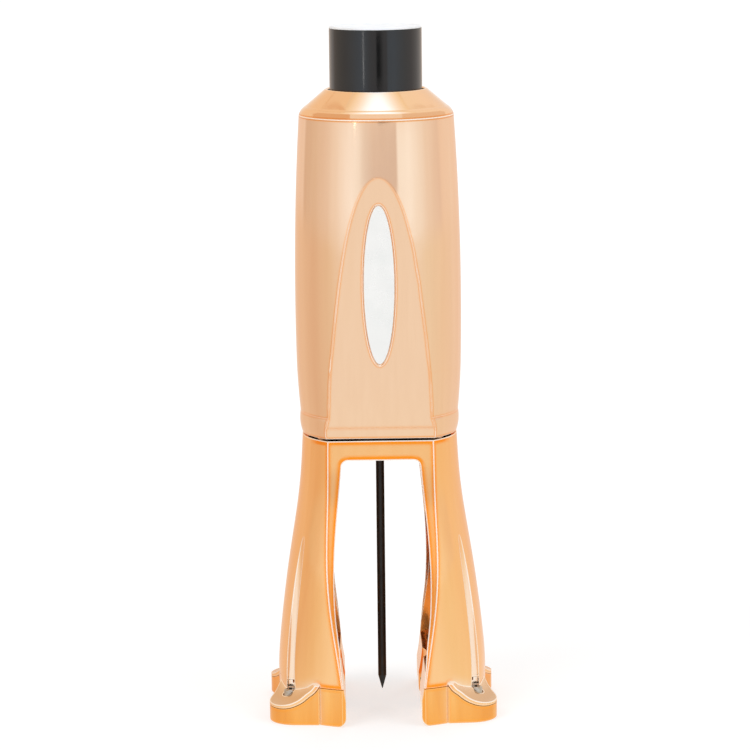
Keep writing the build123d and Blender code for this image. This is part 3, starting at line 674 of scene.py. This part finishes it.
def plating(name, colors, low_mm, high_mm, roughness, highlight_line_mm, band_mm, band_share,
            band_within_mm, curtain_mm, curtain_share, coat, quiet):
    """Coloured mirror under lacquer, with a painted highlight line on its edges and a painted
    reflection band beside.
    """
    material, tree, surface = shader(
        name, Metallic=1.0, Coat_Weight=coat, Coat_Roughness=0.05, Coat_IOR=1.5,
        Specular_Tint=PLATING_TINT)
    place = add(tree, "ShaderNodeTexCoord").outputs["Object"]
    split = add(tree, "ShaderNodeSeparateXYZ", {0: place})
    # Painted reflection: the colour of the open faces goes from low to high with height.
    lower = add(tree, "ShaderNodeMapRange", {
        "Value": split.outputs["Z"], "From Min": high_mm * MM, "From Max": low_mm * MM})
    facing = add(tree, "ShaderNodeNewGeometry").outputs["Normal"]
    facing_parts = add(tree, "ShaderNodeSeparateXYZ", {0: facing})
    # Painted reflection: faces that look up get another colour.
    painted_upward = add(tree, "ShaderNodeMapRange", {
        "Value": facing_parts.outputs["Z"], "From Min": PAINTED_UPWARD_FROM, "From Max": PAINTED_UPWARD_TO})
    # Painted reflection: walls that look towards the axis get another colour, for what they
    # mirror.
    outward = add(tree, "ShaderNodeVectorMath", {
        0: facing, 1: add(tree, "ShaderNodeVectorMath", {
            0: place, 1: (1, 1, 0)}, operation="MULTIPLY").outputs[0]},
        operation="DOT_PRODUCT")
    inner = add(tree, "ShaderNodeMapRange", {
        "Value": outward.outputs["Value"], "From Min": INNER_FROM_MM * MM,
        "From Max": INNER_TO_MM * MM})
    # Painted reflection: a band of deeper orange beside the edges, only within a set distance of
    # the middle.
    aside = add(tree, "ShaderNodeMath", {0: split.outputs["X"]}, operation="ABSOLUTE")
    held = add(tree, "ShaderNodeMapRange", {
        "Value": aside.outputs[0], "From Min": (band_within_mm + BAND_FADE_MM) * MM,
        "From Max": band_within_mm * MM, "To Max": band_share})
    band = add(tree, "ShaderNodeMath", {
        0: near_edge(tree, band_mm, *BAND_DEGREES), 1: held.outputs[0]}, operation="MULTIPLY")
    # Painted light: grooves and pockets that see little open sky are painted paler.
    open_sky = add(tree, "ShaderNodeAmbientOcclusion", {"Distance": RECESS_MM * MM},
                   samples=8, only_local=True)
    recess = add(tree, "ShaderNodeMapRange", {
        "Value": open_sky.outputs["AO"], "From Min": RECESS_FROM, "From Max": RECESS_TO})
    layered(tree, surface, colors["high"], [
        (lower.outputs[0], colors["low"]),
        (drift(tree, (curtain_mm, curtain_mm, CURTAIN_HEIGHT_MM), 0.0, curtain_share),
         colors["curtain"]),
        (band.outputs[0], colors["painted_edge_reflection"]),
        (inner.outputs[0], colors["inner"]),
        (painted_upward.outputs[0], colors["painted_upward"]),
        (recess.outputs[0], colors["recess"]),
        # Painted highlight: a pale line along the edges.
        (near_edge(tree, highlight_line_mm, *HIGHLIGHT_LINE_DEGREES, quiet), colors["line"]),
    ])
    tree.links.new(drift(tree, (CLOUD_MM,) * 3, roughness * SMOOTHEST, roughness * ROUGHEST),
                   surface.inputs["Roughness"])
    soft = add(tree, "ShaderNodeBevel", {"Radius": SOFT_EDGE_MM * MM}, samples=6)
    waviness(tree, surface, spacing_mm=9.0, height_mm=0.004, under=soft.outputs["Normal"])
    return material, tree, surface


# %% [markdown]
# The barrel's colours are the palest, the legs' deeper and the feet's the deepest orange. That
# is partly painted reflection of the plating in itself, and partly a different coat of lacquer.
# Each mask has its colour, and the colour of the open faces goes from low to high between two
# heights. Some edges go without the painted highlight line: the step low on the barrel, and the
# edges that lie in the seam between the legs and the feet. They are picked by the way they
# lean, down (-1) or up (1), and by the heights between which they lie.

# %% Three platings, partly painted reflection
BARREL_STEP_MM = (112.0, 117.0)
SEAM_MM = 14.6
SEAM_EDGE_MM = 0.5  # how far above the seam its edges still reach
SEAM_EDGES_MM = (0.0, SEAM_MM + SEAM_EDGE_MM)

barrel_plating, barrel_tree, barrel_surface = plating(
    "rose_gold_plated_abs_barrel", {
        "high": "EFCBA9", "low": "F0CCA8", "curtain": "E6BA92", "painted_edge_reflection": "F29C40",
        "inner": "EFCBA9", "painted_upward": "EFC9A4", "recess": "F2DCC8", "line": "FBEEE2"},
    low_mm=108, high_mm=130, roughness=0.09, highlight_line_mm=0.45, band_mm=1.6, band_share=0.75,
    band_within_mm=60, curtain_mm=2.5, curtain_share=0.16, coat=0.8, quiet=(-1, *BARREL_STEP_MM))
leg_plating, _, _ = plating(
    "rose_gold_plated_abs_legs", {
        "high": "F8C282", "low": "FACA90", "curtain": "EEA85C", "painted_edge_reflection": "FF9810",
        "inner": "F0BE88", "painted_upward": "D8B490", "recess": "FAEBDD", "line": "FFF6EC"},
    low_mm=14, high_mm=100, roughness=0.12, highlight_line_mm=0.75, band_mm=3.0, band_share=1.0,
    band_within_mm=24, curtain_mm=2.5, curtain_share=0.12, coat=0.4, quiet=(-1, *SEAM_EDGES_MM))
foot_plating, _, _ = plating(
    "rose_gold_plated_abs_feet", {
        "high": "FAC070", "low": "FAB052", "curtain": "EC9434", "painted_edge_reflection": "FFA428",
        "inner": "F4B060", "painted_upward": "D8B490", "recess": "F2DCC8", "line": "FBCB8E"},
    low_mm=0, high_mm=15, roughness=0.14, highlight_line_mm=0.5, band_mm=2.0, band_share=0.5,
    band_within_mm=60, curtain_mm=7.0, curtain_share=0.6, coat=0.6, quiet=(1, *SEAM_EDGES_MM))
print("three depths of lacquer")

# %% [markdown]
# The shoulder is moulded slightly domed, and its lower rim, the crease, is the sharpest line of
# the whole barrel. A white ring along it is a painted highlight, with an orange line above and
# below that is a painted reflection. The dome is a bump that is highest near the top of the
# cone and falls away, ever faster, down to the crease. Both are level rings, so the height
# above the floor is enough to find them. The metal along the crease is rubbed rough, so that it
# doesn't mirror a sharp edge of a card.
#
# The barrel's material exists already, so its links are opened and the new nodes are put in
# between: the dome's bump under the waves, and the rings over the colour and the roughness.

# %% Shoulder dome and crease
CREASE_HIGHLIGHT_MM = 0.22
CREASE_BAND_MM = 0.7
CREASE_ROUGHNESS = 0.45
# Painted rings round the crease: an orange reflection, and over it a white highlight.
PAINTED_CREASE_COLORS = ((CREASE_BAND_MM, "E8A05C"), (CREASE_HIGHLIGHT_MM, "FFF8F0"))
RING_ENDS, RING_FULL = 1.2, 0.8  # shares of a line's width between which it fades
ROUGH_FULL = 0.5  # the same for the roughness, which fades more slowly

tree, surface = barrel_tree, barrel_surface
place = add(tree, "ShaderNodeSeparateXYZ", {
    0: add(tree, "ShaderNodeTexCoord").outputs["Object"]})
rise = add(tree, "ShaderNodeMapRange", {
    "Value": place.outputs["Z"], "From Min": CREASE_MM * MM, "From Max": DOME_TOP_MM * MM,
    "To Min": -1.0, "To Max": 0.0})
square = add(tree, "ShaderNodeMath", {
    0: rise.outputs[0], 1: rise.outputs[0]}, operation="MULTIPLY")
dome = add(tree, "ShaderNodeMath", {0: 1.0, 1: square.outputs[0]}, operation="SUBTRACT")
bulge = add(tree, "ShaderNodeBump", {
    "Height": dome.outputs[0], "Distance": DOME_MM * MM, "Strength": 1.0})
waves = surface.inputs["Normal"].links[0].from_node
tree.links.new(waves.inputs["Normal"].links[0].from_socket, bulge.inputs["Normal"])
tree.links.new(bulge.outputs["Normal"], waves.inputs["Normal"])
apart = add(tree, "ShaderNodeMath", {
    0: place.outputs["Z"], 1: CREASE_MM * MM}, operation="SUBTRACT")
distance = add(tree, "ShaderNodeMath", {0: apart.outputs[0]}, operation="ABSOLUTE")
near_crease = add(tree, "ShaderNodeMapRange", {
    "Value": distance.outputs[0], "From Min": CREASE_BAND_MM * RING_ENDS * MM,
    "From Max": CREASE_BAND_MM * ROUGH_FULL * MM})
color = surface.inputs["Base Color"].links[0].from_socket
for width, code in PAINTED_CREASE_COLORS:
    ring = add(tree, "ShaderNodeMapRange", {
        "Value": distance.outputs[0], "From Min": width * RING_ENDS * MM,
        "From Max": width * RING_FULL * MM})
    color = add(tree, "ShaderNodeMix", {
        "Factor": ring.outputs[0], "A": color, "B": linear(code)},
        data_type="RGBA").outputs["Result"]
tree.links.new(color, surface.inputs["Base Color"])
smooth = surface.inputs["Roughness"].links[0].from_socket
rubbed = add(tree, "ShaderNodeMix", {
    "Factor": near_crease.outputs[0], "A": smooth, "B": CREASE_ROUGHNESS}, data_type="FLOAT")
tree.links.new(rubbed.outputs["Result"], surface.inputs["Roughness"])
print("dome", DOME_MM, "mm over", round(DOME_TOP_MM - CREASE_MM, 1), "mm")

# %% [markdown]
# ## The gas can
#
# The can is impact-extruded aluminium with a glossy black print. The print stops nearly a
# millimetre below the base, where the bare metal shows as a bright rim and a pale base with
# fine turned rings. The print is a dielectric over metal, so it only glints, and its edge is
# rubbed thin and a little lighter. Only the side wall is printed: the dished base and the
# hidden neck stay bare. The base is turned so matt that it looks half like pale paint, so its
# metallic value is below 1. The real rings are finer than 0.1 mm and are drawn 0.5 mm
# apart so that they show.

# %% Can material
PRINT_EDGE_MM = 262.3
PRINT_RADIUS_MM = 17.0
RING_MM = 0.5
RING_DEPTH_MM = 0.004
WAVE_PERIOD = 0.314  # a wave texture repeats after this length at scale 1

can_finish, tree, black = shader(
    "black_printed_aluminium_can", IOR=1.5, Specular_Tint=(0.96, 0.95, 0.94, 1.0))
layered(tree, black, "191919", [
    (drift(tree, (5, 5, 9), low=0.0, high=0.6), "1F1F20"),
    (near_edge(tree, radius_mm=0.6, from_degrees=6.0, to_degrees=25.0), "4A4848")])
tree.links.new(drift(tree, (6, 6, 6), low=0.10, high=0.17), black.inputs["Roughness"])
waviness(tree, black, spacing_mm=12.0, height_mm=0.002)
bare = add(tree, "ShaderNodeBsdfPrincipled", {"Metallic": 0.4})
layered(tree, bare, "F6FAFF", [(drift(tree, (4, 4, 4), low=0.0, high=0.5), "ECF2FA")])
tree.links.new(drift(tree, (3, 3, 3), low=0.55, high=0.68), bare.inputs["Roughness"])
place = add(tree, "ShaderNodeTexCoord")
rings = add(tree, "ShaderNodeTexWave", {
    "Vector": place.outputs["Object"], "Scale": WAVE_PERIOD / (RING_MM * MM)},
    wave_type="RINGS", rings_direction="Z")
turned = add(tree, "ShaderNodeBump", {
    "Height": rings.outputs["Fac"], "Distance": RING_DEPTH_MM * MM, "Strength": 1.0})
tree.links.new(turned.outputs["Normal"], bare.inputs["Normal"])
split = add(tree, "ShaderNodeSeparateXYZ", {0: place.outputs["Object"]})
flat = add(tree, "ShaderNodeVectorMath", {
    0: place.outputs["Object"], 1: (1, 1, 0)}, operation="MULTIPLY")
radius = add(tree, "ShaderNodeVectorMath", {0: flat.outputs[0]}, operation="LENGTH")
below = add(tree, "ShaderNodeMath", {
    0: split.outputs["Z"], 1: PRINT_EDGE_MM * MM}, operation="LESS_THAN")
on_side = add(tree, "ShaderNodeMath", {
    0: radius.outputs["Value"], 1: PRINT_RADIUS_MM * MM}, operation="GREATER_THAN")
printed = add(tree, "ShaderNodeMath", {
    0: below.outputs[0], 1: on_side.outputs[0]}, operation="MULTIPLY")
pick = add(tree, "ShaderNodeMixShader", {
    "Fac": printed.outputs[0], 1: bare.outputs[0], 2: black.outputs[0]})
out = next(n for n in tree.nodes if n.type == "OUTPUT_MATERIAL")
tree.links.new(pick.outputs[0], out.inputs["Surface"])
print("print ends at", PRINT_EDGE_MM, "mm")

# %% [markdown]
# ## Small parts
#
# The oval plate is satin anodised aluminium. Screws and pins are nickel-plated steel, wheels
# are hardened steel with a ground edge, and the needle is steel under a black non-stick
# coating, which is satin and slightly warm, and a little rubbed along its edges. The sleeve and
# the hub are moulded ABS, the valve is acetal, and the seals are nitrile rubber. Each gets a
# colour that drifts, edges that wear to another one, and a roughness and a bump of its own.


# %% Small materials
WEAR_DEGREES = (6.0, 20.0)
SECOND_COLOR_SHARE = 0.7
WIPED_SHARE = 0.6  # a patch of roughness is smaller than a patch of colour
SMOOTH_SHARE, DULL_SHARE = 0.75, 1.3


def small_finish(name, colors, rough, patch_mm, wave_mm, height_mm, edge_mm, **values):
    """A finish with drifting colour and roughness, worn edges and a fine bump."""
    material, tree, surface = shader(name, **values)
    first, second, edge = colors
    layered(tree, surface, first, [
        (drift(tree, (patch_mm,) * 3, 0.0, SECOND_COLOR_SHARE), second),
        (near_edge(tree, edge_mm, *WEAR_DEGREES), edge)])
    wiped = drift(tree, (patch_mm * WIPED_SHARE,) * 3, rough * SMOOTH_SHARE, rough * DULL_SHARE)
    tree.links.new(wiped, surface.inputs["Roughness"])
    waviness(tree, surface, wave_mm, height_mm)
    print(name, "roughness", rough)
    return material


plate_finish = small_finish(
    "satin_anodised_aluminium_plate", ("F6F8F8", "E9EDED", "FFFFFF"), rough=0.28,
    patch_mm=16.0, wave_mm=1.0, height_mm=0.002, edge_mm=0.3, Metallic=1.0)
steel_finish = small_finish(
    "nickel_plated_steel", ("C4BDB4", "A89E92", "E4DED6"), rough=0.24,
    patch_mm=1.6, wave_mm=1.0, height_mm=0.004, edge_mm=0.25, Metallic=1.0)
wheel_finish = small_finish(
    "hardened_steel_wheel", ("B9BABC", "9A9CA0", "E2E3E5"), rough=0.3,
    patch_mm=1.2, wave_mm=0.5, height_mm=0.003, edge_mm=0.3, Metallic=1.0)
needle_finish = small_finish(
    "non_stick_coated_steel", ("1C1816", "272320", "4C463F"), rough=0.40,
    patch_mm=7.0, wave_mm=0.6, height_mm=0.004, edge_mm=0.25, IOR=1.4)
black_abs = small_finish(
    "black_moulded_abs", ("151515", "1E1D1C", "303030"), rough=0.48,
    patch_mm=5.0, wave_mm=1.2, height_mm=0.012, edge_mm=0.3, IOR=1.53)
white_acetal = small_finish(
    "white_moulded_acetal", ("EFEEE8", "E4E2DA", "F8F8F4"), rough=0.38,
    patch_mm=4.0, wave_mm=1.5, height_mm=0.006, edge_mm=0.3, IOR=1.48)
nitrile = small_finish(
    "black_nitrile_rubber", ("121212", "1C1B1A", "242423"), rough=0.7,
    patch_mm=2.5, wave_mm=0.6, height_mm=0.012, edge_mm=0.3, IOR=1.52)
bare_sheet = small_finish(
    "bare_aluminium_sheet", ("DDDEDF", "C9CBCD", "F2F2F2"), rough=0.3,
    patch_mm=4.0, wave_mm=1.2, height_mm=0.003, edge_mm=0.3, Metallic=1.0)

# %% [markdown]
# ## The valve spring
#
# Inside the valve a small spring pushes the can up again after each press, so it gets shorter
# by the whole stroke. A solid can't do that, so the spring is a piece of its own here. It could
# be a curve with a bevel, but a squash needs a mesh, so rings of points follow a helix, and
# faces join each ring to the next. The first and last turns are wound closer together, as on a
# real spring.

# %% Coil spring
COIL_TURNS = 5
COIL_STEPS = 40
WIRE_STEPS = 10
WIRE_RADIUS_MM = 0.25
CLOSER_AT_ENDS = 0.6  # 0 winds all turns alike

low_corner, high_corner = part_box("valve_spring")
coil_radius = (high_corner[0] - low_corner[0]) / 2 - WIRE_RADIUS_MM * MM
coil_low = low_corner[2] + WIRE_RADIUS_MM * MM
coil_high = high_corner[2] - WIRE_RADIUS_MM * MM
points, faces = [], []
steps = COIL_TURNS * COIL_STEPS
for step in range(steps + 1):
    share = step / steps
    turn = math.tau * COIL_TURNS * share
    rise = share - math.sin(math.tau * share) / math.tau * CLOSER_AT_ENDS
    out_way = Vector((math.cos(turn), math.sin(turn), 0))
    middle = out_way * coil_radius + Vector((0, 0, coil_low + (coil_high - coil_low) * rise))
    for k in range(WIRE_STEPS):
        lean = math.tau * k / WIRE_STEPS
        points.append(middle + WIRE_RADIUS_MM * MM * (
            out_way * math.cos(lean) + Vector((0, 0, math.sin(lean)))))
for step in range(steps):
    for k in range(WIRE_STEPS):
        a, b = step * WIRE_STEPS + k, step * WIRE_STEPS + (k + 1) % WIRE_STEPS
        faces.append((a, a + WIRE_STEPS, b + WIRE_STEPS, b))
faces.append(tuple(range(WIRE_STEPS)))
faces.append(tuple(reversed(range(steps * WIRE_STEPS, (steps + 1) * WIRE_STEPS))))
coil_mesh = bpy.data.meshes.new("valve_spring_coil")
coil_mesh.from_pydata(points, [], faces)
coil_mesh.materials.append(steel_finish)
for face in coil_mesh.polygons:
    face.use_smooth = True
coil = bpy.data.objects.new("valve_spring_coil", coil_mesh)
bpy.context.scene.collection.objects.link(coil)
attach(coil, "opener")
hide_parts("valve_spring")
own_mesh(coil)

# %% [markdown]
# ## The finishes go on
#
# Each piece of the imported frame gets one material. The names on the left are the pieces' names
# in the frame.

# %% Finishes on the pieces
FINISHES = {
    "housing": barrel_plating, "leg_frame": leg_plating,
    "foot_left": foot_plating, "foot_right": foot_plating,
    "badge_plate": plate_finish, "gas_can": can_finish, "valve_cup": bare_sheet,
    "foot_screws": steel_finish, "frame_screws": steel_finish, "hub_screws": steel_finish,
    "axle_pins": steel_finish, "valve_spring": steel_finish,
    "cutter_wheel_front_left": wheel_finish, "cutter_wheel_front_right": wheel_finish,
    "cutter_wheel_rear_left": wheel_finish, "cutter_wheel_rear_right": wheel_finish,
    "needle": needle_finish, "needle_hub": black_abs, "cartridge_sleeve": black_abs,
    "stem_seal": nitrile, "cup_gasket": nitrile, "stem_gasket": nitrile,
    "valve_body": white_acetal, "valve_stem": white_acetal, "dip_tube": white_acetal,
}
for name, material in FINISHES.items():
    mesh = nodes[name].data
    mesh.materials.clear()
    mesh.materials.append(material)
    print(name, "in", material.name)
